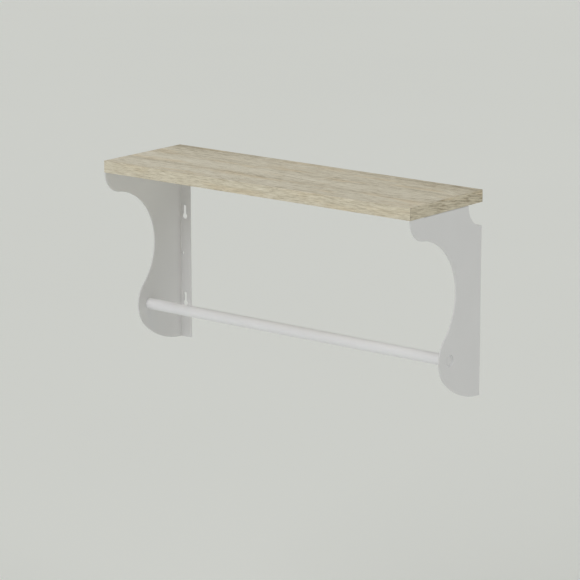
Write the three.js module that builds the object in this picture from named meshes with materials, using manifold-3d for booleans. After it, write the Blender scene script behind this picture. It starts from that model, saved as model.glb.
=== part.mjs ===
// Wall shelf: a banded board on two folded sheet-steel brackets that share one hanging rail.
// Millimetres, +Z up. X runs along the wall and +Y points into it. The wall is the plane y = 0.
// The origin is on the wall, half way along the shelf, level with the two upper wall screws.
import * as THREE from "three";
import { mergeVertices } from "three/addons/utils/BufferGeometryUtils.js";
import Module from "manifold-3d";

const wasm = await Module();
wasm.setup();

// Driving dimensions
const SHELF_WIDTH = 600;
const SHELF_DEPTH = 183;
const BOARD_THICKNESS = 19;
const BAND_THICKNESS = 1;
const SHEET = 2;
const FOLD_INNER_RADIUS = 0.5;
const BRACKET_HEIGHT = 300;
const BRACKET_DEPTH = 182.5;
const CORNER_RADIUS = 36; // front lobe, and the notch in the rear top corner
const BAY_CENTRE = { u: 160.5, w: 129.5 }; // hollow front edge; u out from the wall, w down
const FOOT_CENTRE = { u: 58.5, w: 229.5 }; // rounded front of the part that carries the rail
const WALL_FLANGE_WIDTH = 23;
const BOARD_FLANGE_WIDTH = 24;
const FLANGE_CORNER_RADIUS = 3;
const FOLD_RELIEF_WIDTH = 0.6;
const FOLD_RELIEF_DEPTH = 3;
const KEYHOLE_LEVELS = [82, 227]; // centre of each slot's closed end, down from the bracket top
const KEYHOLE_SLOT_WIDTH = 5;
const KEYHOLE_HEAD_DIAMETER = 9.5;
const KEYHOLE_TRAVEL = 16;
const KEYHOLE_INSET = 11; // from the bracket's outer face
const LOCK_HOLE = { inset: 6.5, level: 159.5, diameter: 4 };
const RAIL_DIAMETER = 18;
const RAIL_WALL = 1.2;
const RAIL_U = 80;
const RAIL_W = 231;
const RAIL_RECESS = 1; // the rail's ends stop this far inside the brackets' outer faces
const FIT_GAP = 0.3;
const PLUG_LENGTH = 14;
const PLUG_WALL = 1.5;
const PLUG_FACE = 2;
const PLUG_RIM_CHAMFER = 0.4;
const PLUG_LEAD_CHAMFER = { radial: 0.7, along: 1 }; // on the end that goes in first
const SCREW_PLACES = { back: 56, front: 128 }; // out from the wall
const SCREW_INSET = 14; // from the bracket's outer face
const SCREW_SHANK_DIAMETER = 4;
const SCREW_HEAD_DIAMETER = 8;
const SCREW_HEAD_HEIGHT = 2.4;
const SCREW_LENGTH = 16;
const SCREW_TIP = 4;
const RECESS_WIDTH = 4.2; // the cross-shaped drive
const RECESS_SLOT = 1;
const RECESS_DEPTH = 1.5;

// Derived sizes
const HALF_WIDTH = SHELF_WIDTH / 2;
const BRACKET_TOP = KEYHOLE_LEVELS[0];
const BOARD_TOP = BRACKET_TOP + BOARD_THICKNESS;
const FOLD_OUTER_RADIUS = FOLD_INNER_RADIUS + SHEET;
const LOBE_CENTRE = { u: BRACKET_DEPTH - CORNER_RADIUS, w: 0 };
const BAY_RADIUS = distance(LOBE_CENTRE, BAY_CENTRE) - CORNER_RADIUS;
const FOOT_RADIUS = distance(BAY_CENTRE, FOOT_CENTRE) - BAY_RADIUS;
const BOARD_FLANGE_START = CORNER_RADIUS;
const BOARD_FLANGE_END = LOBE_CENTRE.u;
const ARC_STEPS = 24;
const FOLD_STEPS = 5;
const ROUND_STEPS = 48;
const MARGIN = 1; // how far a cutting solid runs past the piece that it cuts

// Materials
const paintedSteel = material(0xe6e6e2, 0.45, 0);
const oakDecor = material(0xb8b1a0, 0.6, 0);
const oakBand = material(0xb0a893, 0.6, 0);
const whitePlastic = material(0xe4e4e0, 0.5, 0);
const zincSteel = material(0xb4b6b8, 0.35, 1);

function material(color, roughness, metalness) {
  return new THREE.MeshStandardMaterial({ color, roughness, metalness });
}

function distance(a, b) {
  return Math.hypot(a.u - b.u, a.w - b.w);
}

function toward(from, to) {
  return Math.atan2(to.w - from.w, to.u - from.u);
}

// A three.js geometry as a closed solid that can be cut and joined
function solid(geometry) {
  const closed = geometry.clone();
  closed.deleteAttribute("normal");
  closed.deleteAttribute("uv");
  const merged = mergeVertices(closed, 1e-5);
  return new wasm.Manifold(new wasm.Mesh({
    numProp: 3,
    vertProperties: new Float32Array(merged.attributes.position.array),
    triVerts: new Uint32Array(merged.index.array),
  }));
}

function geometryOf(body) {
  const mesh = body.getMesh();
  const geometry = new THREE.BufferGeometry();
  geometry.setAttribute("position", new THREE.BufferAttribute(mesh.vertProperties, 3));
  geometry.setIndex(new THREE.BufferAttribute(mesh.triVerts, 1));
  geometry.computeVertexNormals();
  return geometry;
}

// The same shape on the other side of the plane x = 0, with its faces still pointing out
function mirrored(geometry) {
  const copy = geometry.clone();
  copy.scale(-1, 1, 1);
  const index = copy.index.array;
  for (let i = 0; i < index.length; i += 3) {
    [index[i + 1], index[i + 2]] = [index[i + 2], index[i + 1]];
  }
  copy.computeVertexNormals();
  return copy;
}

function part(name, geometry, finish) {
  const mesh = new THREE.Mesh(geometry, finish);
  mesh.name = name;
  return mesh;
}

function box(x0, x1, y0, y1, z0, z1) {
  const geometry = new THREE.BoxGeometry(x1 - x0, y1 - y0, z1 - z0);
  geometry.translate((x0 + x1) / 2, (y0 + y1) / 2, (z0 + z1) / 2);
  return geometry;
}

function extruded(shape, depth, curveSegments = ARC_STEPS) {
  return new THREE.ExtrudeGeometry(shape, { depth, bevelEnabled: false, curveSegments });
}

// Places an extrusion drawn in (u out from the wall, z up) so that it runs from xOuter towards x = 0
function acrossShelf(geometry, xOuter) {
  const axes = new THREE.Matrix4().makeBasis(
    new THREE.Vector3(0, -1, 0),
    new THREE.Vector3(0, 0, 1),
    new THREE.Vector3(-1, 0, 0),
  );
  geometry.applyMatrix4(axes);
  geometry.translate(xOuter, 0, 0);
  return geometry;
}

// Places an extrusion drawn in (x, z) so that it runs out from the wall, starting at u
function outFromWall(geometry, u) {
  geometry.rotateX(Math.PI / 2);
  geometry.translate(0, -u, 0);
  return geometry;
}

function upright(diameter, length, x, y, zBottom) {
  const geometry = new THREE.CylinderGeometry(diameter / 2, diameter / 2, length, ROUND_STEPS / 2);
  geometry.rotateX(Math.PI / 2);
  geometry.translate(x, y, zBottom + length / 2);
  return geometry;
}

// Side view of a bracket: a convex lobe under the board's front edge, a hollow bay, a rounded foot
// that runs tangent into the wall line, and a concave notch at the rear top corner.
function sideOutline() {
  const foot = FOOT_CENTRE;
  const below = BRACKET_HEIGHT - foot.w;
  const heelRadius = (foot.u ** 2 + below ** 2 - FOOT_RADIUS ** 2) / (2 * (below - FOOT_RADIUS));
  const heel = { u: 0, w: BRACKET_HEIGHT - heelRadius };
  const lobeEnd = toward(LOBE_CENTRE, BAY_CENTRE);
  const bayEnd = toward(BAY_CENTRE, foot);
  const footEnd = toward(heel, foot);
  const points = [];
  addArc(points, { u: 0, w: 0 }, CORNER_RADIUS, Math.PI / 2, 0);
  addArc(points, LOBE_CENTRE, CORNER_RADIUS, 0, lobeEnd);
  addArc(points, BAY_CENTRE, BAY_RADIUS, lobeEnd - Math.PI, bayEnd - 2 * Math.PI);
  addArc(points, foot, FOOT_RADIUS, bayEnd - Math.PI, footEnd);
  addArc(points, heel, heelRadius, footEnd, Math.PI / 2);
  return new THREE.Shape(points);
}

// Adds points along an arc; angles run from +u (out from the wall) towards +w (down)
function addArc(points, centre, radius, start, end) {
  for (let step = 0; step <= ARC_STEPS; step += 1) {
    const angle = start + ((end - start) * step) / ARC_STEPS;
    const u = centre.u + radius * Math.cos(angle);
    const w = centre.w + radius * Math.sin(angle);
    const point = new THREE.Vector2(u, BRACKET_TOP - w);
    const last = points[points.length - 1];
    if (!last || last.distanceTo(point) > 1e-4) {
      points.push(point);
    }
  }
}

// Section through a folded corner: a leg down the outer face, the fold, and a flange of this width.
// The corner is at (a, b), the leg runs towards -b and the flange towards -a.
function foldedSection(a, b, legLength, flangeWidth) {
  const shape = new THREE.Shape();
  const centreA = a - FOLD_OUTER_RADIUS;
  const centreB = b - FOLD_OUTER_RADIUS;
  shape.moveTo(a - SHEET, b - legLength);
  shape.lineTo(a, b - legLength);
  shape.lineTo(a, centreB);
  shape.absarc(centreA, centreB, FOLD_OUTER_RADIUS, 0, Math.PI / 2, false);
  shape.lineTo(a - flangeWidth, b);
  shape.lineTo(a - flangeWidth, b - SHEET);
  shape.lineTo(centreA, b - SHEET);
  shape.absarc(centreA, centreB, FOLD_INNER_RADIUS, Math.PI / 2, 0, true);
  shape.closePath();
  return shape;
}

function roundedRectangle(a0, a1, b0, b1, radius) {
  const shape = new THREE.Shape();
  shape.moveTo(a0 + radius, b0);
  shape.lineTo(a1, b0);
  shape.lineTo(a1, b1);
  shape.lineTo(a0 + radius, b1);
  shape.absarc(a0 + radius, b1 - radius, radius, Math.PI / 2, Math.PI, false);
  shape.absarc(a0 + radius, b0 + radius, radius, Math.PI, 1.5 * Math.PI, false);
  return shape;
}

// A wide round hole below a narrow slot: the bracket drops over a screw head and hangs on its shank
function keyholeOutline(x, slotZ) {
  const headZ = slotZ - KEYHOLE_TRAVEL;
  const headRadius = KEYHOLE_HEAD_DIAMETER / 2;
  const slotRadius = KEYHOLE_SLOT_WIDTH / 2;
  const mouth = Math.acos(slotRadius / headRadius);
  const shape = new THREE.Shape();
  shape.absarc(x, slotZ, slotRadius, 0, Math.PI, false);
  shape.absarc(x, headZ, headRadius, Math.PI - mouth, 2 * Math.PI + mouth, false);
  shape.closePath();
  return shape;
}

function wallHole(shape) {
  return solid(outFromWall(extruded(shape, SHEET + 2 * MARGIN, ARC_STEPS / 2), -MARGIN));
}

// The right-hand bracket, one folded sheet: side plate, wall flange and board flange
function bracketGeometry() {
  const bottom = BRACKET_TOP - BRACKET_HEIGHT;
  const plan = foldedSection(HALF_WIDTH, 0, BRACKET_DEPTH + MARGIN, WALL_FLANGE_WIDTH);
  const wallFold = extruded(plan, BRACKET_HEIGHT, FOLD_STEPS);
  wallFold.translate(0, 0, bottom);
  const outline = acrossShelf(extruded(sideOutline(), WALL_FLANGE_WIDTH + 2 * MARGIN), HALF_WIDTH + MARGIN);
  let bracket = solid(wallFold).intersect(solid(outline));

  const foldStrip = box(
    HALF_WIDTH - SHEET - MARGIN, HALF_WIDTH + MARGIN,
    -BOARD_FLANGE_END, -BOARD_FLANGE_START + 2 * MARGIN,
    BRACKET_TOP - FOLD_OUTER_RADIUS, BRACKET_TOP + MARGIN,
  );
  const relief = box(
    HALF_WIDTH - SHEET - MARGIN, HALF_WIDTH + MARGIN,
    -BOARD_FLANGE_END - FOLD_RELIEF_WIDTH, -BOARD_FLANGE_END,
    BRACKET_TOP - FOLD_RELIEF_DEPTH, BRACKET_TOP + MARGIN,
  );
  bracket = bracket.subtract(solid(foldStrip)).subtract(solid(relief));

  const legLength = 2 * FOLD_OUTER_RADIUS;
  const front = foldedSection(HALF_WIDTH, BRACKET_TOP, legLength, BOARD_FLANGE_WIDTH);
  const boardFold = extruded(front, BOARD_FLANGE_END - BOARD_FLANGE_START, FOLD_STEPS);
  const flangePlan = extruded(
    roundedRectangle(
      HALF_WIDTH - BOARD_FLANGE_WIDTH, HALF_WIDTH + MARGIN,
      -BOARD_FLANGE_END, -BOARD_FLANGE_START, FLANGE_CORNER_RADIUS,
    ),
    legLength + 2 * MARGIN,
    FOLD_STEPS,
  );
  flangePlan.translate(0, 0, BRACKET_TOP - legLength - MARGIN);
  const boardFlange = solid(outFromWall(boardFold, BOARD_FLANGE_START)).intersect(solid(flangePlan));
  bracket = bracket.add(boardFlange);

  const flangeFace = roundedRectangle(
    HALF_WIDTH - WALL_FLANGE_WIDTH, HALF_WIDTH + MARGIN,
    bottom, BRACKET_TOP - CORNER_RADIUS, FLANGE_CORNER_RADIUS,
  );
  const wallFlangeEdge = box(
    HALF_WIDTH - WALL_FLANGE_WIDTH - MARGIN, HALF_WIDTH - FOLD_OUTER_RADIUS,
    -SHEET - MARGIN / 2, MARGIN, bottom - MARGIN, BRACKET_TOP - CORNER_RADIUS + MARGIN,
  );
  bracket = bracket.subtract(solid(wallFlangeEdge).subtract(wallHole(flangeFace)));

  const keyholeX = HALF_WIDTH - KEYHOLE_INSET;
  for (const level of KEYHOLE_LEVELS) {
    bracket = bracket.subtract(wallHole(keyholeOutline(keyholeX, BRACKET_TOP - level)));
  }
  const lockHole = new THREE.Shape();
  const lockX = HALF_WIDTH - LOCK_HOLE.inset;
  lockHole.absarc(lockX, BRACKET_TOP - LOCK_HOLE.level, LOCK_HOLE.diameter / 2, 0, 2 * Math.PI, false);
  bracket = bracket.subtract(wallHole(lockHole));

  const railHole = new THREE.Shape();
  const railHoleRadius = RAIL_DIAMETER / 2 + FIT_GAP;
  railHole.absarc(RAIL_U, BRACKET_TOP - RAIL_W, railHoleRadius, 0, 2 * Math.PI, false);
  const railCut = acrossShelf(extruded(railHole, SHEET + 2 * MARGIN), HALF_WIDTH + MARGIN);
  bracket = bracket.subtract(solid(railCut));

  for (const u of Object.values(SCREW_PLACES)) {
    const hole = upright(
      SCREW_SHANK_DIAMETER + 2 * FIT_GAP, SHEET + 2 * MARGIN,
      HALF_WIDTH - SCREW_INSET, -u, BRACKET_TOP - SHEET - MARGIN,
    );
    bracket = bracket.subtract(solid(hole));
  }
  return geometryOf(bracket);
}

function boardCoreGeometry() {
  let core = solid(box(
    -HALF_WIDTH + BAND_THICKNESS, HALF_WIDTH - BAND_THICKNESS,
    -SHELF_DEPTH + BAND_THICKNESS, -BAND_THICKNESS,
    BRACKET_TOP, BOARD_TOP,
  ));
  for (const side of [-1, 1]) {
    for (const u of Object.values(SCREW_PLACES)) {
      const pilot = upright(
        SCREW_SHANK_DIAMETER + 2 * FIT_GAP, SCREW_LENGTH - SHEET + FIT_GAP + MARGIN,
        side * (HALF_WIDTH - SCREW_INSET), -u, BRACKET_TOP - MARGIN,
      );
      core = core.subtract(solid(pilot));
    }
  }
  return geometryOf(core);
}

// Pan-head wood screw standing on its domed head: the head's flat side is at z = 0 and the tip points up
function screwGeometry() {
  const shank = SCREW_SHANK_DIAMETER / 2;
  const headRadius = SCREW_HEAD_DIAMETER / 2;
  const crown = [];
  for (let step = 0; step <= ARC_STEPS / 3; step += 1) {
    const angle = (Math.PI / 2) * (step / (ARC_STEPS / 3));
    crown.push(new THREE.Vector2(headRadius * Math.sin(angle), -SCREW_HEAD_HEIGHT * Math.cos(angle)));
  }
  crown[0].x = 0;
  const profile = [
    ...crown,
    new THREE.Vector2(shank, 0),
    new THREE.Vector2(shank, SCREW_LENGTH - SCREW_TIP),
    new THREE.Vector2(0, SCREW_LENGTH),
  ];
  const turned = new THREE.LatheGeometry(profile, ROUND_STEPS / 2);
  turned.rotateX(Math.PI / 2);
  const floor = -SCREW_HEAD_HEIGHT - MARGIN;
  const half = RECESS_WIDTH / 2;
  const slot = RECESS_SLOT / 2;
  const drive = solid(box(-half, half, -slot, slot, floor, -SCREW_HEAD_HEIGHT + RECESS_DEPTH))
    .add(solid(box(-slot, slot, -half, half, floor, -SCREW_HEAD_HEIGHT + RECESS_DEPTH)));
  return geometryOf(solid(turned).subtract(drive));
}

function railGeometry() {
  const ring = new THREE.Shape();
  ring.absarc(0, 0, RAIL_DIAMETER / 2, 0, 2 * Math.PI, false);
  const bore = new THREE.Path();
  bore.absarc(0, 0, RAIL_DIAMETER / 2 - RAIL_WALL, 0, 2 * Math.PI, true);
  ring.holes.push(bore);
  const end = HALF_WIDTH - RAIL_RECESS;
  const geometry = extruded(ring, 2 * end);
  geometry.rotateY(Math.PI / 2);
  geometry.translate(-end, -RAIL_U, BRACKET_TOP - RAIL_W);
  return geometry;
}

// Hollow push-in plug for the right-hand end of the rail, closed at its outer face
function plugGeometry() {
  const outer = RAIL_DIAMETER / 2 - RAIL_WALL - FIT_GAP;
  const inner = outer - PLUG_WALL;
  const profile = [
    new THREE.Vector2(0, 0),
    new THREE.Vector2(outer - PLUG_RIM_CHAMFER, 0),
    new THREE.Vector2(outer, -PLUG_RIM_CHAMFER),
    new THREE.Vector2(outer, -PLUG_LENGTH + PLUG_LEAD_CHAMFER.along),
    new THREE.Vector2(outer - PLUG_LEAD_CHAMFER.radial, -PLUG_LENGTH),
    new THREE.Vector2(inner, -PLUG_LENGTH),
    new THREE.Vector2(inner, -PLUG_FACE),
    new THREE.Vector2(0, -PLUG_FACE),
  ];
  profile.reverse();
  const geometry = new THREE.LatheGeometry(profile, ROUND_STEPS);
  geometry.rotateZ(-Math.PI / 2);
  geometry.translate(HALF_WIDTH - RAIL_RECESS, -RAIL_U, BRACKET_TOP - RAIL_W);
  return geometryOf(solid(geometry));
}

const shelf = new THREE.Group();

const board = new THREE.Group();
board.add(part("shelf_board_core", boardCoreGeometry(), oakDecor));
const bands = {
  edge_band_front: [-HALF_WIDTH, HALF_WIDTH, -SHELF_DEPTH, -SHELF_DEPTH + BAND_THICKNESS],
  edge_band_back: [-HALF_WIDTH, HALF_WIDTH, -BAND_THICKNESS, 0],
  edge_band_left: [-HALF_WIDTH, -HALF_WIDTH + BAND_THICKNESS, -SHELF_DEPTH + BAND_THICKNESS, -BAND_THICKNESS],
  edge_band_right: [HALF_WIDTH - BAND_THICKNESS, HALF_WIDTH, -SHELF_DEPTH + BAND_THICKNESS, -BAND_THICKNESS],
};
for (const [name, plan] of Object.entries(bands)) {
  board.add(part(name, box(...plan, BRACKET_TOP, BOARD_TOP), oakBand));
}
shelf.add(board);

const frame = new THREE.Group();
const rightBracket = bracketGeometry();
const rightPlug = plugGeometry();
frame.add(part("bracket_right", rightBracket, paintedSteel));
frame.add(part("bracket_left", mirrored(rightBracket), paintedSteel));
frame.add(part("rail_tube", railGeometry(), paintedSteel));
frame.add(part("rail_plug_right", rightPlug, whitePlastic));
frame.add(part("rail_plug_left", mirrored(rightPlug), whitePlastic));
shelf.add(frame);

const screw = screwGeometry();
const sides = { left: -1, right: 1 };
for (const [side, sign] of Object.entries(sides)) {
  for (const [place, u] of Object.entries(SCREW_PLACES)) {
    const mesh = part(`board_screw_${side}_${place}`, screw, zincSteel);
    mesh.position.set(sign * (HALF_WIDTH - SCREW_INSET), -u, BRACKET_TOP - SHEET);
    shelf.add(mesh);
  }
}

export default shelf;
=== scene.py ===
import math

import bmesh
import bpy
from mathutils import Matrix, Vector
from mathutils.geometry import tessellate_polygon


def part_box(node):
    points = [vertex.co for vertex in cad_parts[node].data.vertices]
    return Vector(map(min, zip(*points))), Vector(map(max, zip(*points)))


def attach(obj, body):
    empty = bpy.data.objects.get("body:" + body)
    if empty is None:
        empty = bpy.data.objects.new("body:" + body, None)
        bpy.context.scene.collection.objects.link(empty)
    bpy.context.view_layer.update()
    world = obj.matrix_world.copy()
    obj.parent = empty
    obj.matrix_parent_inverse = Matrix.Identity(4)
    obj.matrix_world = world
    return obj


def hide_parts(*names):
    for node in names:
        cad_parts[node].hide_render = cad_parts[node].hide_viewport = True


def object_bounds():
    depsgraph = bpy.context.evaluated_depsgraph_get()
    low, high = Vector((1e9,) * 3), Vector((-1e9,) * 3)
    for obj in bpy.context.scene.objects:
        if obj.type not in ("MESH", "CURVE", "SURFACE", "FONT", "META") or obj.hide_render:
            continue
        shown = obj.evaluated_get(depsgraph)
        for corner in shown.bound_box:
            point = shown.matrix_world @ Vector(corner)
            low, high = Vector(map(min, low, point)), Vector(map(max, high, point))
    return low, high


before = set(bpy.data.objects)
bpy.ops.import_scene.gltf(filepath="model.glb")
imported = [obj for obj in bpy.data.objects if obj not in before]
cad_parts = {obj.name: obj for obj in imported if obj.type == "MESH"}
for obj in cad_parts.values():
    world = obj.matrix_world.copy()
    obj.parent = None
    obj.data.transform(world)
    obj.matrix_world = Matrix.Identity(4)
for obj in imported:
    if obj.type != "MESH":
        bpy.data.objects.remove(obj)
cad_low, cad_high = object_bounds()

MM = 0.001

# Bracket sheet, in millimetres: places are (out from the wall, down from the bracket's top)
SHEET = 2.0
FOLD_RADIUS = 2.5
CORNER_RADIUS = 36.0
BAY_CENTRE = (160.5, 129.5)
FOOT_CENTRE = (58.5, 229.5)
WALL_FLANGE_WIDTH = 23.0
BOARD_FLANGE_WIDTH = 24.0
FLANGE_CORNER_RADIUS = 3.0
RELIEF_WIDTH = 0.6
RELIEF_DEPTH = 3.0
KEYHOLE_LEVELS = (82.0, 227.0)
KEYHOLE_SLOT_RADIUS = 2.5
KEYHOLE_HEAD_RADIUS = 4.75
KEYHOLE_TRAVEL = 16.0
KEYHOLE_INSET = 11.0
LOCK_HOLE_INSET = 6.5
LOCK_HOLE_LEVEL = 159.5
LOCK_HOLE_RADIUS = 2.0
FIT_GAP = 0.3
BEND_LENGTH = FOLD_RADIUS * math.pi / 2
BEND_STEPS = 8
CORNER_STEPS = 8
HEEL_STEPS = 24
NOTCH_STEPS = 32
LOBE_STEPS = 48
FOOT_STEPS = 64
BAY_STEPS = 96
SLOT_STEPS = 12
HEAD_STEPS = 32
HOLE_STEPS = 24
EDGE_BREAK_STEPS = 3
CUT_TOLERANCE = 1e-3
SCREW_RADIUS = 2.0
SCREW_PLACES = ("back", "front")
EDGE_BREAK = 0.3

# Rail, plugs and screws, in millimetres
RAIL_WALL = 1.2
RAIL_CHAMFER = 0.1
PLUG_WALL = 1.5
PLUG_FACE = 2.0
PLUG_DOME = 0.25
PLUG_RIM = 0.5
PLUG_RIM_STEPS = 4
PLUG_LEAD = (1.0, 0.7)
SCREW_THREAD_PITCH = 1.8
SCREW_THREAD_DEPTH = 0.55
SCREW_THREAD_WIDTH = 0.28
SCREW_THREAD_RUN_IN = 1.5
SCREW_TIP = 4.0
SCREW_TIP_TAPER = 0.02
SCREW_CROWN_RINGS = 10
SCREW_CROWN_SHARE = 0.92
SCREW_CROWN_POWER = 0.9
SCREW_RIM_SHARE = 0.02
SCREW_RIM_STEP = 0.1
ROWS_PER_THREAD = 16
SCREW_SIDES = 32
PLUG_SIDES = 64
PLUG_RINGS = 8
RAIL_SIDES = 96
RAIL_HOLE_SIDES = 64
BAND_STEPS = 4
BAND_EDGE_RADIUS = 0.5
TOUCHING = 1e-5

# Camera, as seen round the aim point on the wall
CAMERA_AZIMUTH = 38.763
CAMERA_ELEVATION = 13.113
CAMERA_DISTANCE = 4.8436
CAMERA_AIM = Vector((-0.07115, 0.0, -0.10822))
CAMERA_LENS = 188.99
SENSOR_WIDTH = 36.0

FLOOR_DROP = 0.62
FLOOR_SIZE = 60.0

# Wide, distant lights: name, azimuth and elevation in degrees, and how bright they make a white surface
SOFT_LIGHTS = (
    ("key_front", 5.0, 40.0, 0.27),
    ("side_right", 90.0, 38.0, 0.19),
    ("front_low", -20.0, 12.0, 0.05),
    ("overhead", 0.0, 85.0, 0.08),
    ("back_fill", 180.0, 25.0, 0.08),
)
SOFT_SPREAD = 35.0
# The sky is brighter near the horizon; the rise is the sine of the elevation where that fades out
HORIZON_RISE = (0.05, 0.11)
AMBIENT_LEVEL = 0.25
HORIZON_LEVEL = 0.61
AMBIENT_COLOR = (0.98, 1.0, 0.95)


# ---------------------------------------------------------------- node helpers

class Nodes:
    """A short way to build a node tree: add(type, values) returns a node with its inputs set or linked."""

    def __init__(self, tree):
        self.tree = tree
        tree.nodes.clear()

    def add(self, kind, values=None, **settings):
        node = self.tree.nodes.new(kind)
        for name, value in settings.items():
            setattr(node, name, value)
        for name, value in (values or {}).items():
            if isinstance(value, bpy.types.NodeSocket):
                self.tree.links.new(value, node.inputs[name])
            else:
                node.inputs[name].default_value = value
        return node

    def maths(self, operation, a, b=0.0):
        return self.add("ShaderNodeMath", {0: a, 1: b}, operation=operation).outputs[0]

    def scaled(self, vector, scale):
        return self.add("ShaderNodeVectorMath", {0: vector, 1: scale}, operation="MULTIPLY").outputs[0]

    def noise(self, vector, detail=2.0, roughness=0.5):
        values = {"Vector": vector, "Scale": 1.0, "Detail": detail, "Roughness": roughness}
        return self.add("ShaderNodeTexNoise", values).outputs["Fac"]

    def remap(self, value, low, high, to_low=0.0, to_high=1.0, smooth=False):
        values = {"Value": value, "From Min": low, "From Max": high, "To Min": to_low, "To Max": to_high}
        kind = "SMOOTHSTEP" if smooth else "LINEAR"
        return self.add("ShaderNodeMapRange", values, interpolation_type=kind).outputs[0]

    def mix(self, factor, a, b, blend="MIX"):
        values = {0: factor, 6: a, 7: b}
        return self.add("ShaderNodeMix", values, data_type="RGBA", blend_type=blend).outputs[2]


def fill_ramp(ramp, tones):
    """Gives a colour ramp these (position, colour) stops."""
    for position, color in tones[:-2]:
        ramp.elements.new(position).color = (*color, 1.0)
    for element, (position, color) in zip(ramp.elements, sorted(tones)):
        element.position = position
        element.color = (*color, 1.0)


def new_material(name):
    material = bpy.data.materials.new(name)
    material.use_nodes = True
    return material, Nodes(material.node_tree)


def finish_material(nodes, values, height=None, bump_distance=0.0):
    shader = nodes.add("ShaderNodeBsdfPrincipled", values)
    if height is not None:
        bump = nodes.add("ShaderNodeBump", {"Height": height, "Distance": bump_distance, "Strength": 1.0})
        nodes.tree.links.new(bump.outputs[0], shader.inputs["Normal"])
    output = nodes.add("ShaderNodeOutputMaterial")
    nodes.tree.links.new(shader.outputs[0], output.inputs["Surface"])


# ---------------------------------------------------------------- materials

def grain_place(nodes, turn, offset):
    """Object coordinates in metres, turned so that the grain runs along X, with a slow sideways sway."""
    place = nodes.add("ShaderNodeTexCoord").outputs["Object"]
    values = {"Vector": place, "Rotation": turn, "Location": offset}
    place = nodes.add("ShaderNodeMapping", values).outputs[0]
    drift = nodes.noise(nodes.scaled(place, (2.5, 8.0, 8.0)), detail=2.0)
    drift = nodes.remap(drift, 0.0, 1.0, -0.014, 0.014)
    sway = nodes.add("ShaderNodeCombineXYZ", {"X": 0.0, "Y": drift, "Z": drift}).outputs[0]
    return nodes.add("ShaderNodeVectorMath", {0: place, 1: sway}, operation="ADD").outputs[0]


def broad_bands(nodes, grain):
    """Darker (+) and lighter (-) bands of the board's decor, fading in and out along the grain."""
    across = nodes.add("ShaderNodeSeparateXYZ", {0: grain}).outputs["Y"]
    fade = nodes.noise(nodes.scaled(grain, (2.6, 14.0, 14.0)), detail=1.0)
    fade = nodes.remap(fade, 0.25, 0.75, 0.35, 1.3)
    clouds = nodes.noise(nodes.scaled(grain, (1.6, 30.0, 30.0)), detail=2.0)
    total = nodes.remap(clouds, 0.3, 0.7, -0.12, 0.12)
    for centre, half_width, depth in BOARD_BANDS:
        distance = nodes.maths("ABSOLUTE", nodes.maths("ADD", across, centre))
        band = nodes.remap(distance, 0.0, half_width, depth, 0.0, smooth=True)
        total = nodes.maths("ADD", total, nodes.maths("MULTIPLY", band, fade))
    return total


def wood_decor(name, turn, offset, look, banded=False):
    """Washed-oak decor: broad bands, soft streaks, fine fibres and short open pores along the grain."""
    material, nodes = new_material(name)
    grain = grain_place(nodes, turn, offset)
    streaks = nodes.noise(nodes.scaled(grain, look["streak_scale"]), detail=3.0, roughness=0.6)
    dark_lines = nodes.remap(streaks, 0.50, 0.72, 0.0, look["streak_depth"], smooth=True)
    flecks = nodes.noise(nodes.scaled(grain, (60.0, 520.0, 520.0)), detail=2.0, roughness=0.55)
    fibres = nodes.noise(nodes.scaled(grain, (45.0, 950.0, 950.0)), detail=3.0, roughness=0.65)
    pores = nodes.noise(nodes.scaled(grain, (130.0, 2100.0, 2100.0)), detail=1.0)
    pores = nodes.remap(pores, 0.62, 0.72, smooth=True)
    pores = nodes.maths("MULTIPLY", pores, nodes.remap(streaks, 0.42, 0.58, 0.25, 1.0, smooth=True))

    fleck, fibre = look["fleck_depth"], look["fibre_depth"]
    shade = nodes.maths("ADD", dark_lines, nodes.remap(flecks, 0.30, 0.70, -fleck, fleck))
    shade = nodes.maths("ADD", shade, nodes.remap(fibres, 0.30, 0.70, -fibre, fibre))
    if banded:
        shade = nodes.maths("ADD", shade, broad_bands(nodes, grain))
    ramp = nodes.add("ShaderNodeValToRGB", {"Fac": nodes.maths("ADD", shade, look["tone"])})
    fill_ramp(ramp.color_ramp, WOOD_TONES)
    warm = nodes.noise(nodes.scaled(grain, (9.0, 48.0, 48.0)), detail=3.0)
    warm = nodes.remap(warm, 0.48, 0.68, 0.0, look["warmth"], smooth=True)
    color = nodes.mix(warm, ramp.outputs["Color"], (*WOOD_WARMTH, 1.0), "MULTIPLY")
    color = nodes.mix(nodes.maths("MULTIPLY", pores, 0.6), color, (*WOOD_PORE, 1.0))
    roughness = nodes.remap(fibres, 0.25, 0.75, 0.50, 0.64)
    height = nodes.maths("SUBTRACT", nodes.maths("MULTIPLY", fibres, 0.4), pores)
    finish_material(nodes, {"Base Color": color, "Roughness": roughness, "IOR": 1.45}, height, 0.00005)
    return material


def powder_coat(name, tint):
    """Satin white powder coat: a fine orange-peel skin with very faint clouding."""
    material, nodes = new_material(name)
    place = nodes.add("ShaderNodeTexCoord").outputs["Object"]
    peel = nodes.noise(nodes.scaled(place, (700.0, 700.0, 700.0)), detail=2.0)
    clouds = nodes.noise(nodes.scaled(place, (14.0, 14.0, 14.0)), detail=3.0)
    shade = tuple(0.975 * channel for channel in tint)
    color = nodes.mix(nodes.remap(clouds, 0.3, 0.7), (*shade, 1.0), (*tint, 1.0))
    roughness = nodes.remap(peel, 0.3, 0.7, 0.40, 0.47)
    finish_material(
        nodes,
        {"Base Color": color, "Roughness": roughness, "IOR": 1.5},
        peel, 0.00004,
    )
    return material


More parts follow.
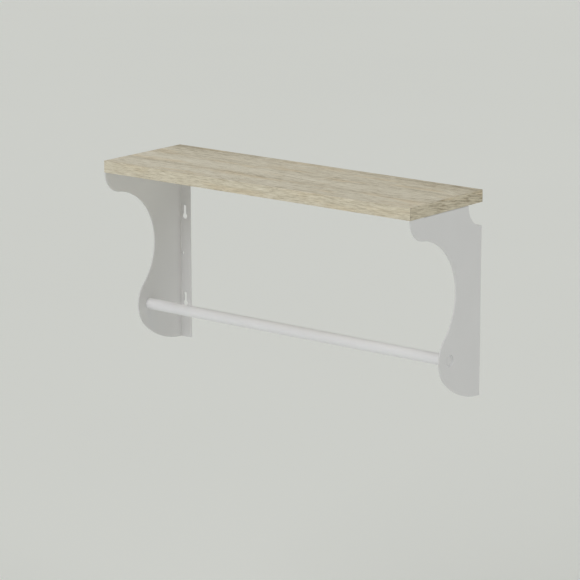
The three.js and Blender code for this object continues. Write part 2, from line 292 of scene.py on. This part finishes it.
def moulded_plastic(name, tint):
    material, nodes = new_material(name)
    place = nodes.add("ShaderNodeTexCoord").outputs["Object"]
    grain = nodes.noise(nodes.scaled(place, (1500.0, 1500.0, 1500.0)), detail=2.0)
    flow = nodes.noise(nodes.scaled(place, (60.0, 60.0, 60.0)), detail=2.0)
    shade = tuple(0.97 * channel for channel in tint)
    color = nodes.mix(nodes.remap(flow, 0.3, 0.7), (*shade, 1.0), (*tint, 1.0))
    roughness = nodes.remap(grain, 0.3, 0.7, 0.45, 0.55)
    finish_material(nodes, {"Base Color": color, "Roughness": roughness, "IOR": 1.49}, grain, 0.00002)
    return material


def zinc_plate(name):
    material, nodes = new_material(name)
    place = nodes.add("ShaderNodeTexCoord").outputs["Object"]
    film = nodes.noise(nodes.scaled(place, (350.0, 350.0, 350.0)), detail=3.0)
    scratches = nodes.noise(nodes.scaled(place, (400.0, 400.0, 4000.0)), detail=2.0)
    color = nodes.mix(nodes.remap(film, 0.3, 0.7), (0.60, 0.62, 0.66, 1.0), (0.76, 0.74, 0.68, 1.0))
    roughness = nodes.remap(scratches, 0.3, 0.7, 0.24, 0.42)
    finish_material(
        nodes,
        {"Base Color": color, "Metallic": 1.0, "Roughness": roughness},
        scratches, 0.00001,
    )
    return material


# ---------------------------------------------------------------- mesh helpers

def add_piece(name, mesh, material, replaced):
    """Links a mesh as a piece of the object, riding on the root body in place of a CAD node."""
    piece = bpy.data.objects.new(name, mesh)
    bpy.context.scene.collection.objects.link(piece)
    mesh.materials.append(material)
    for polygon in mesh.polygons:
        polygon.use_smooth = True
    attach(piece, "root")
    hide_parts(replaced)
    return piece


def finished_mesh(name, shape):
    mesh = bpy.data.meshes.new(name)
    shape.to_mesh(mesh)
    shape.free()
    return mesh


def keep_flats(piece):
    """Lets the large faces set the shading, so that they look flat and the small ones look round."""
    weighted = piece.modifiers.new("flat_faces", "WEIGHTED_NORMAL")
    weighted.weight = 100
    weighted.keep_sharp = False


def arc(centre, radius, start, end, steps):
    points = []
    for step in range(steps + 1):
        angle = start + (end - start) * step / steps
        points.append((centre[0] + radius * math.cos(angle), centre[1] + radius * math.sin(angle)))
    return points


def circle(centre, radius, steps):
    return arc(centre, radius, 0.0, 2 * math.pi, steps)[:-1]


def without_repeats(points, closeness=1e-4):
    kept = []
    for point in points:
        if not kept or math.dist(kept[-1], point) > closeness:
            kept.append(point)
    if math.dist(kept[0], kept[-1]) <= closeness:
        kept.pop()
    return kept


def skin(shape, rings, steps, closed=False):
    """Faces between neighbouring rings; a ring of one vertex is a point on the axis."""
    pairs = list(zip(rings, rings[1:]))
    if closed:
        pairs.append((rings[-1], rings[0]))
    for first, second in pairs:
        for k in range(steps):
            following = (k + 1) % steps
            corners = [
                first[k % len(first)], first[following % len(first)],
                second[following % len(second)], second[k % len(second)],
            ]
            unique = list(dict.fromkeys(corners))
            if len(unique) > 2:
                shape.faces.new(unique)
    bmesh.ops.recalc_face_normals(shape, faces=shape.faces)


def lathe(name, profile, steps, matrix):
    """Turns a profile of (along, radius) points about X; a radius of 0 closes it to a point."""
    shape = bmesh.new()
    rings = []
    for along, radius in profile:
        around = circle((0, 0), radius, steps) if radius > 0 else [(0, 0)]
        rings.append([shape.verts.new((along, y, z)) for y, z in around])
    skin(shape, rings, steps, closed=len(rings[0]) > 1 and len(rings[-1]) > 1)
    shape.transform(matrix)
    if matrix.determinant() < 0:
        bmesh.ops.reverse_faces(shape, faces=shape.faces)
    return finished_mesh(name, shape)


# ---------------------------------------------------------------- brackets

def toward(start, end):
    return math.atan2(end[1] - start[1], end[0] - start[0])


def run_past(inset):
    """Where a place on a flange, this far in from the plate's outer face, lies on the flat blank."""
    return 2 * FOLD_RADIUS - BEND_LENGTH - inset


def blank_outline(depth, height):
    """Outline of the flat blank in millimetres: p is out from the wall and q is down from the top.

    Beyond a fold line, p or q goes on over the bend and along the flange.
    """
    r = FLANGE_CORNER_RADIUS
    lobe = (depth - CORNER_RADIUS, 0.0)
    bay_radius = math.dist(lobe, BAY_CENTRE) - CORNER_RADIUS
    foot_radius = math.dist(BAY_CENTRE, FOOT_CENTRE) - bay_radius
    below = height - FOOT_CENTRE[1]
    heel_radius = (FOOT_CENTRE[0] ** 2 + below ** 2 - foot_radius ** 2) / (2 * (below - foot_radius))
    heel = (0.0, height - heel_radius)
    lobe_end = toward(lobe, BAY_CENTRE)
    bay_end = toward(BAY_CENTRE, FOOT_CENTRE)
    foot_end = toward(heel, FOOT_CENTRE)
    notch_edge = math.sqrt(CORNER_RADIUS ** 2 - FOLD_RADIUS ** 2)
    heel_edge = heel[1] + math.sqrt(heel_radius ** 2 - FOLD_RADIUS ** 2)
    tab = run_past(BOARD_FLANGE_WIDTH)
    flange = run_past(WALL_FLANGE_WIDTH)

    points = arc((0, 0), CORNER_RADIUS, toward((0, 0), (FOLD_RADIUS, notch_edge)),
                 toward((0, 0), (notch_edge, FOLD_RADIUS)), NOTCH_STEPS)
    points += arc((notch_edge + r, tab + r), r, math.pi, 1.5 * math.pi, CORNER_STEPS)
    points += arc((lobe[0] - r, tab + r), r, 1.5 * math.pi, 2 * math.pi, CORNER_STEPS)
    points += [(lobe[0], RELIEF_DEPTH), (lobe[0] + RELIEF_WIDTH, RELIEF_DEPTH)]
    points += [(lobe[0] + RELIEF_WIDTH, 0.0)]
    points += arc(lobe, CORNER_RADIUS, 0.0, lobe_end, LOBE_STEPS)
    points += arc(BAY_CENTRE, bay_radius, lobe_end - math.pi, bay_end - 2 * math.pi, BAY_STEPS)
    points += arc(FOOT_CENTRE, foot_radius, bay_end - math.pi, foot_end, FOOT_STEPS)
    points += arc(heel, heel_radius, foot_end, toward(heel, (FOLD_RADIUS, heel_edge)), HEEL_STEPS)
    points += arc((flange + r, heel_edge - r), r, math.pi / 2, math.pi, CORNER_STEPS)
    points += arc((flange + r, notch_edge + r), r, math.pi, 1.5 * math.pi, CORNER_STEPS)
    return without_repeats(points)


def keyhole(level):
    """Outline of a keyhole on the blank: the narrow end is the upper one."""
    p = run_past(KEYHOLE_INSET)
    mouth = math.acos(KEYHOLE_SLOT_RADIUS / KEYHOLE_HEAD_RADIUS)
    points = arc((p, level), KEYHOLE_SLOT_RADIUS, math.pi, 2 * math.pi, SLOT_STEPS)
    head = (p, level + KEYHOLE_TRAVEL)
    points += arc(head, KEYHOLE_HEAD_RADIUS, -mouth, math.pi + mouth, HEAD_STEPS)
    return points


def flat_blank(loops):
    """A flat plate with holes, its edges broken, lying in p and q with its thickness along z."""
    shape = bmesh.new()
    verts = [shape.verts.new((*point, 0.0)) for loop in loops for point in loop]
    flat = [[Vector((*point, 0.0)) for point in loop] for loop in loops]
    for triangle in tessellate_polygon(flat):
        shape.faces.new([verts[index] for index in triangle])
    bmesh.ops.recalc_face_normals(shape, faces=shape.faces)
    inner = [edge for edge in shape.edges if not edge.is_boundary]
    bmesh.ops.dissolve_limit(shape, angle_limit=0.01, verts=[], edges=inner)
    grown = bmesh.ops.extrude_face_region(shape, geom=shape.faces[:])
    lifted = [part for part in grown["geom"] if isinstance(part, bmesh.types.BMVert)]
    bmesh.ops.translate(shape, vec=(0, 0, SHEET), verts=lifted)
    bmesh.ops.recalc_face_normals(shape, faces=shape.faces)
    sharp = [edge for edge in shape.edges if edge.calc_face_angle() > math.radians(60)]
    rims = [edge for edge in sharp if abs(edge.verts[0].co.z - edge.verts[1].co.z) < 0.5 * SHEET]
    bmesh.ops.bevel(shape, geom=rims, offset=EDGE_BREAK, offset_type="OFFSET", segments=EDGE_BREAK_STEPS,
                    profile=0.5, affect="EDGES", clamp_overlap=False, loop_slide=False)
    return shape


def cut_lines(shape, axis):
    """Cuts the blank across a bend, so that the bend can be round."""
    normal = Vector((axis == 0, axis == 1, 0))
    for step in range(BEND_STEPS + 1):
        place = normal * (FOLD_RADIUS - BEND_LENGTH * step / BEND_STEPS)
        everything = shape.verts[:] + shape.edges[:] + shape.faces[:]
        bmesh.ops.bisect_plane(shape, geom=everything, plane_co=place, plane_no=normal,
                               dist=CUT_TOLERANCE)


def over_bend(run, depth):
    """A run past a fold line, turned over the bend: how far in from the plate and from the flange."""
    if run > BEND_LENGTH:
        return FOLD_RADIUS + run - BEND_LENGTH, depth
    angle = run / FOLD_RADIUS
    radius = FOLD_RADIUS - depth
    return FOLD_RADIUS - radius * math.cos(angle), FOLD_RADIUS - radius * math.sin(angle)


def bracket_mesh(name, word, side):
    """The blank with its holes, folded up into a bracket. side is 1 for right and -1 for left."""
    low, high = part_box(name)
    outer = max(high.x, -low.x)
    depth = -low.y / MM
    height = (high.z - low.z) / MM
    rail_low, rail_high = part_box("rail_tube")
    rail = (rail_low + rail_high) / 2
    rail_radius = (rail_high.z - rail_low.z) / 2 / MM + FIT_GAP

    loops = [blank_outline(depth, height)]
    loops += [circle((-rail.y / MM, (high.z - rail.z) / MM), rail_radius, RAIL_HOLE_SIDES)]
    loops += [keyhole(level) for level in KEYHOLE_LEVELS]
    loops += [circle((run_past(LOCK_HOLE_INSET), LOCK_HOLE_LEVEL), LOCK_HOLE_RADIUS, HOLE_STEPS)]
    for place in SCREW_PLACES:
        screw_low, screw_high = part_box(f"board_screw_{word}_{place}")
        screw = (screw_low + screw_high) / 2
        centre = (-screw.y / MM, run_past((outer - abs(screw.x)) / MM))
        loops.append(circle(centre, SCREW_RADIUS + FIT_GAP, HOLE_STEPS))

    shape = flat_blank(loops)
    cut_lines(shape, 0)
    cut_lines(shape, 1)
    tab_end = depth - CORNER_RADIUS + RELIEF_WIDTH / 2
    for vert in shape.verts:
        p, q, inset = vert.co
        if p < FOLD_RADIUS:
            inset, p = over_bend(FOLD_RADIUS - p, inset)
        elif q < FOLD_RADIUS and p < tab_end:
            inset, q = over_bend(FOLD_RADIUS - q, inset)
        vert.co = Vector((side * (outer - inset * MM), -p * MM, high.z - q * MM))
    bmesh.ops.recalc_face_normals(shape, faces=shape.faces)
    return finished_mesh(f"{name}_mesh", shape)


def make_bracket(word, side, material):
    name = f"bracket_{word}"
    keep_flats(add_piece(f"{name}_sheet", bracket_mesh(name, word, side), material, name))


# ---------------------------------------------------------------- rail and plugs

def make_rail(material):
    low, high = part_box("rail_tube")
    middle = (low + high) / 2
    outer = (high.z - low.z) / 2
    bore = outer - RAIL_WALL * MM
    half = (high.x - low.x) / 2
    cut = RAIL_CHAMFER * MM
    profile = [
        (-half, bore + cut), (-half, outer - cut), (-half + cut, outer),
        (half - cut, outer), (half, outer - cut), (half, bore + cut),
        (half - cut, bore), (-half + cut, bore),
    ]
    mesh = lathe("rail_tube_mesh", profile, RAIL_SIDES, Matrix.Translation(middle))
    keep_flats(add_piece("rail", mesh, material, "rail_tube"))


def make_plug(word, side, material):
    node = f"rail_plug_{word}"
    low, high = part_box(node)
    middle = (low + high) / 2
    face = high.x if side > 0 else low.x
    radius = (high.z - low.z) / 2
    length = high.x - low.x
    dome, rim = PLUG_DOME * MM, PLUG_RIM * MM
    bore = radius - PLUG_WALL * MM
    lead_length, lead_drop = (size * MM for size in PLUG_LEAD)
    shares = [ring / PLUG_RINGS for ring in range(PLUG_RINGS + 1)]
    profile = [(-dome * share ** 2, (radius - rim) * share) for share in shares]
    profile += arc((-dome - rim, radius - rim), rim, 0.0, math.pi / 2, PLUG_RIM_STEPS)[1:]
    profile += [(-length + lead_length, radius), (-length, radius - lead_drop), (-length, bore)]
    profile += [(-PLUG_FACE * MM, bore), (-PLUG_FACE * MM, 0.0)]
    turn = Matrix.Translation((face, middle.y, middle.z)) @ Matrix.Scale(side, 4, (1, 0, 0))
    mesh = lathe(f"{node}_mesh", profile, PLUG_SIDES, turn)
    add_piece(f"{node}_cap", mesh, material, node)


# ---------------------------------------------------------------- screws

def crown_rings(head_z, seat_z, head_radius):
    """Rings of (radius, z) from the crown of the head to its seat."""
    height = seat_z - head_z
    rings = []
    for ring in range(SCREW_CROWN_RINGS + 1):
        angle = math.pi / 2 * ring / SCREW_CROWN_RINGS
        rise = height * (1 - math.cos(angle)) * SCREW_CROWN_SHARE
        rings.append((head_radius * math.sin(angle) ** SCREW_CROWN_POWER, head_z + rise))
    rings.append((head_radius, seat_z - SCREW_RIM_SHARE * height))
    rings.append((head_radius - SCREW_RIM_STEP * MM, seat_z))
    return rings


def thread_radius(run, to_tip, turn):
    """Radius of the thread in metres; run and to_tip are from the seat and the tip, turn is 0 to 1."""
    taper = min(1.0, max(SCREW_TIP_TAPER, to_tip / (SCREW_TIP * MM)))
    phase = (run / MM / SCREW_THREAD_PITCH - turn) % 1.0
    ridge = max(0.0, 1 - abs(phase - 0.5) / SCREW_THREAD_WIDTH)
    fade = min(1.0, run / (SCREW_THREAD_RUN_IN * MM))
    return (SCREW_RADIUS * MM - SCREW_THREAD_DEPTH * MM * (1 - ridge * fade)) * taper


def screw_mesh(name, head_radius, head_z, seat_z, tip_z, centre):
    """A pan-head screw, head down: a domed head, a threaded shank and a point."""
    shape = bmesh.new()
    rings = crown_rings(head_z, seat_z, head_radius)
    loops = [[shape.verts.new((0, 0, head_z))]]
    for radius, z in rings[1:]:
        loops.append([shape.verts.new((x, y, z)) for x, y in circle((0, 0), radius, SCREW_SIDES)])
    rows = int((tip_z - seat_z) / MM / SCREW_THREAD_PITCH * ROWS_PER_THREAD)
    for row in range(rows + 1):
        z = seat_z + (tip_z - seat_z) * row / rows
        loop = []
        for side in range(SCREW_SIDES):
            radius = thread_radius(z - seat_z, tip_z - z, side / SCREW_SIDES)
            angle = 2 * math.pi * side / SCREW_SIDES
            loop.append(shape.verts.new((radius * math.cos(angle), radius * math.sin(angle), z)))
        loops.append(loop)
    loops.append([shape.verts.new((0, 0, tip_z))])
    skin(shape, loops, SCREW_SIDES)
    shape.transform(Matrix.Translation((centre.x, centre.y, 0)))
    return finished_mesh(name, shape)


def make_screw(word, place, material):
    node = f"board_screw_{word}_{place}"
    low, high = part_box(node)
    seat_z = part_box(f"bracket_{word}")[1].z - SHEET * MM
    head_radius = (high.x - low.x) / 2
    mesh = screw_mesh(f"{node}_mesh", head_radius, low.z, seat_z, high.z, (low + high) / 2)
    add_piece(f"{node}_turned", mesh, material, node)


# ---------------------------------------------------------------- board

def at_corner(point):
    """True on one of the board's four upright corners."""
    at_end = min(abs(point.x - cad_low.x), abs(point.x - cad_high.x)) < TOUCHING
    return at_end and min(abs(point.y - cad_low.y), abs(point.y - cad_high.y)) < TOUCHING


def make_band(node, side, material):
    """A strip of edge band, its outer edges eased but for those that meet another band flush.

    side is the way it faces: 0 for x or 1 for y, and a sign.
    """
    low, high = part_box(node)
    axis, sign = side
    face = high[axis] if sign > 0 else low[axis]
    shape = bmesh.new()
    bmesh.ops.create_cube(shape, size=1.0)
    shape.transform(Matrix.Translation((low + high) / 2) @ Matrix.Diagonal((*(high - low), 1.0)))
    outer = []
    for edge in shape.edges:
        first, second = (vert.co for vert in edge.verts)
        facing_out = max(abs(first[axis] - face), abs(second[axis] - face)) < TOUCHING
        level = abs(first.z - second.z) < TOUCHING
        if facing_out and (level or at_corner(first)):
            outer.append(edge)
    bmesh.ops.bevel(shape, geom=outer, offset=BAND_EDGE_RADIUS * MM, segments=BAND_STEPS,
                    profile=0.5, affect="EDGES")
    mesh = finished_mesh(f"{node}_mesh", shape)
    keep_flats(add_piece(f"{node}_strip", mesh, material, node))


# ---------------------------------------------------------------- stage, light, camera

def make_stage():
    material, nodes = new_material("pale_floor")
    place = nodes.add("ShaderNodeTexCoord").outputs["Object"]
    clouds = nodes.noise(nodes.scaled(place, (0.7, 0.7, 0.7)), detail=2.0)
    color = nodes.mix(nodes.remap(clouds, 0.3, 0.7), (0.91, 0.92, 0.885, 1.0), (0.92, 0.93, 0.895, 1.0))
    finish_material(nodes, {"Base Color": color, "Roughness": 1.0, "Specular IOR Level": 0.0})
    half = FLOOR_SIZE / 2
    level = cad_low.z - FLOOR_DROP
    mesh = bpy.data.meshes.new("floor_mesh")
    corners = [(-half, -half, level), (half, -half, level), (half, half, level), (-half, half, level)]
    mesh.from_pydata(corners, [], [(0, 1, 2, 3)])
    mesh.materials.append(material)
    floor = bpy.data.objects.new("floor", mesh)
    bpy.context.scene.collection.objects.link(floor)


def facing(azimuth, elevation):
    """The direction towards a viewer: azimuth 0 is in front of the shelf, 90 at its right-hand end."""
    a, e = math.radians(azimuth), math.radians(elevation)
    return Vector((math.sin(a) * math.cos(e), -math.cos(a) * math.cos(e), math.sin(e)))


def add_soft_light(name, azimuth, elevation, level):
    data = bpy.data.lights.new(name, "SUN")
    data.energy = level * math.pi
    data.angle = math.radians(SOFT_SPREAD)
    light = bpy.data.objects.new(name, data)
    light.rotation_mode = "QUATERNION"
    light.rotation_quaternion = facing(azimuth, elevation).to_track_quat("Z", "Y")
    bpy.context.scene.collection.objects.link(light)


def make_light():
    for row in SOFT_LIGHTS:
        add_soft_light(*row)
    world = bpy.data.worlds.new("studio")
    bpy.context.scene.world = world
    world.use_nodes = True
    nodes = Nodes(world.node_tree)
    direction = nodes.add("ShaderNodeTexCoord").outputs["Generated"]
    rise = nodes.add("ShaderNodeSeparateXYZ", {0: direction}).outputs["Z"]
    low_rise, high_rise = HORIZON_RISE
    strength = nodes.remap(rise, low_rise, high_rise, HORIZON_LEVEL, AMBIENT_LEVEL, smooth=True)
    background = nodes.add("ShaderNodeBackground", {"Color": (*AMBIENT_COLOR, 1.0), "Strength": strength})
    output = nodes.add("ShaderNodeOutputWorld")
    world.node_tree.links.new(background.outputs[0], output.inputs["Surface"])


def make_camera():
    back = facing(CAMERA_AZIMUTH, CAMERA_ELEVATION)
    data = bpy.data.cameras.new("camera")
    data.lens = CAMERA_LENS
    data.sensor_width = SENSOR_WIDTH
    data.clip_start = 0.1
    data.clip_end = 100.0
    camera = bpy.data.objects.new("camera", data)
    camera.location = CAMERA_AIM + back * CAMERA_DISTANCE
    camera.rotation_mode = "QUATERNION"
    camera.rotation_quaternion = back.to_track_quat("Z", "Y")
    bpy.context.scene.collection.objects.link(camera)
    bpy.context.scene.camera = camera


# ---------------------------------------------------------------- assembly

WHITE = (0.785, 0.780, 0.785)
# The rail is the same white coat as the brackets, but its colour is painted lighter: painted light
# standing in for the light that falls on the rail.
RAIL_WHITE_PAINTED_LIGHTER = (0.900, 0.895, 0.920)
WOOD_TONES = (
    (0.00, (0.900, 0.840, 0.705)),
    (0.35, (0.800, 0.738, 0.598)),
    (0.62, (0.650, 0.582, 0.445)),
    (1.00, (0.375, 0.312, 0.215)),
)
WOOD_WARMTH = (1.0, 0.935, 0.84)
WOOD_PORE = (0.27, 0.21, 0.13)
# Bands across the board: distance from the wall and half width in metres, and depth of tone
BOARD_BANDS = (
    (0.004, 0.050, 0.34), (0.062, 0.022, 0.22), (0.102, 0.018, -0.12), (0.130, 0.012, 0.14),
)
BOARD_LOOK = {
    "tone": 0.34, "streak_scale": (9.0, 260.0, 260.0), "streak_depth": 0.28,
    "fleck_depth": 0.33, "fibre_depth": 0.20, "warmth": 0.75,
}
FRONT_LOOK = {
    "tone": 0.47, "streak_scale": (22.0, 500.0, 500.0), "streak_depth": 0.10,
    "fleck_depth": 0.15, "fibre_depth": 0.27, "warmth": 0.5,
}
END_LOOK = {
    "tone": 0.62, "streak_scale": (32.0, 520.0, 520.0), "streak_depth": 0.48,
    "fleck_depth": 0.10, "fibre_depth": 0.22, "warmth": 0.8,
}
ZERO = (0.0, 0.0, 0.0)
END_TURN = (math.radians(7.0), 0.0, math.radians(90.0))

board_decor = wood_decor("oak_decor", ZERO, ZERO, BOARD_LOOK, banded=True)
front_decor = wood_decor("oak_band_long", ZERO, (0.37, 0.11, 0.23), FRONT_LOOK)
end_decor = wood_decor("oak_band_end", END_TURN, (0.71, 0.19, 0.47), END_LOOK)
coat = powder_coat("white_powder_coat", WHITE)
# A lighter copy of the white coat for the rail, with painted light in its colour.
rail_coat_painted_lighter = powder_coat("white_coat_painted_lighter_rail", RAIL_WHITE_PAINTED_LIGHTER)
plastic = moulded_plastic("white_plastic", WHITE)
zinc = zinc_plate("zinc_plate")

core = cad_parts["shelf_board_core"]
core.data.materials.clear()
core.data.materials.append(board_decor)
make_band("edge_band_front", (1, -1), front_decor)
make_band("edge_band_back", (1, 1), front_decor)
make_band("edge_band_left", (0, -1), end_decor)
make_band("edge_band_right", (0, 1), end_decor)
make_bracket("right", 1, coat)
make_bracket("left", -1, coat)
make_rail(rail_coat_painted_lighter)
for side_word, side_sign in (("left", -1), ("right", 1)):
    make_plug(side_word, side_sign, plastic)
    for screw_place in ("back", "front"):
        make_screw(side_word, screw_place, zinc)

make_stage()
make_light()
make_camera()
bpy.context.scene.view_settings.view_transform = "Standard"
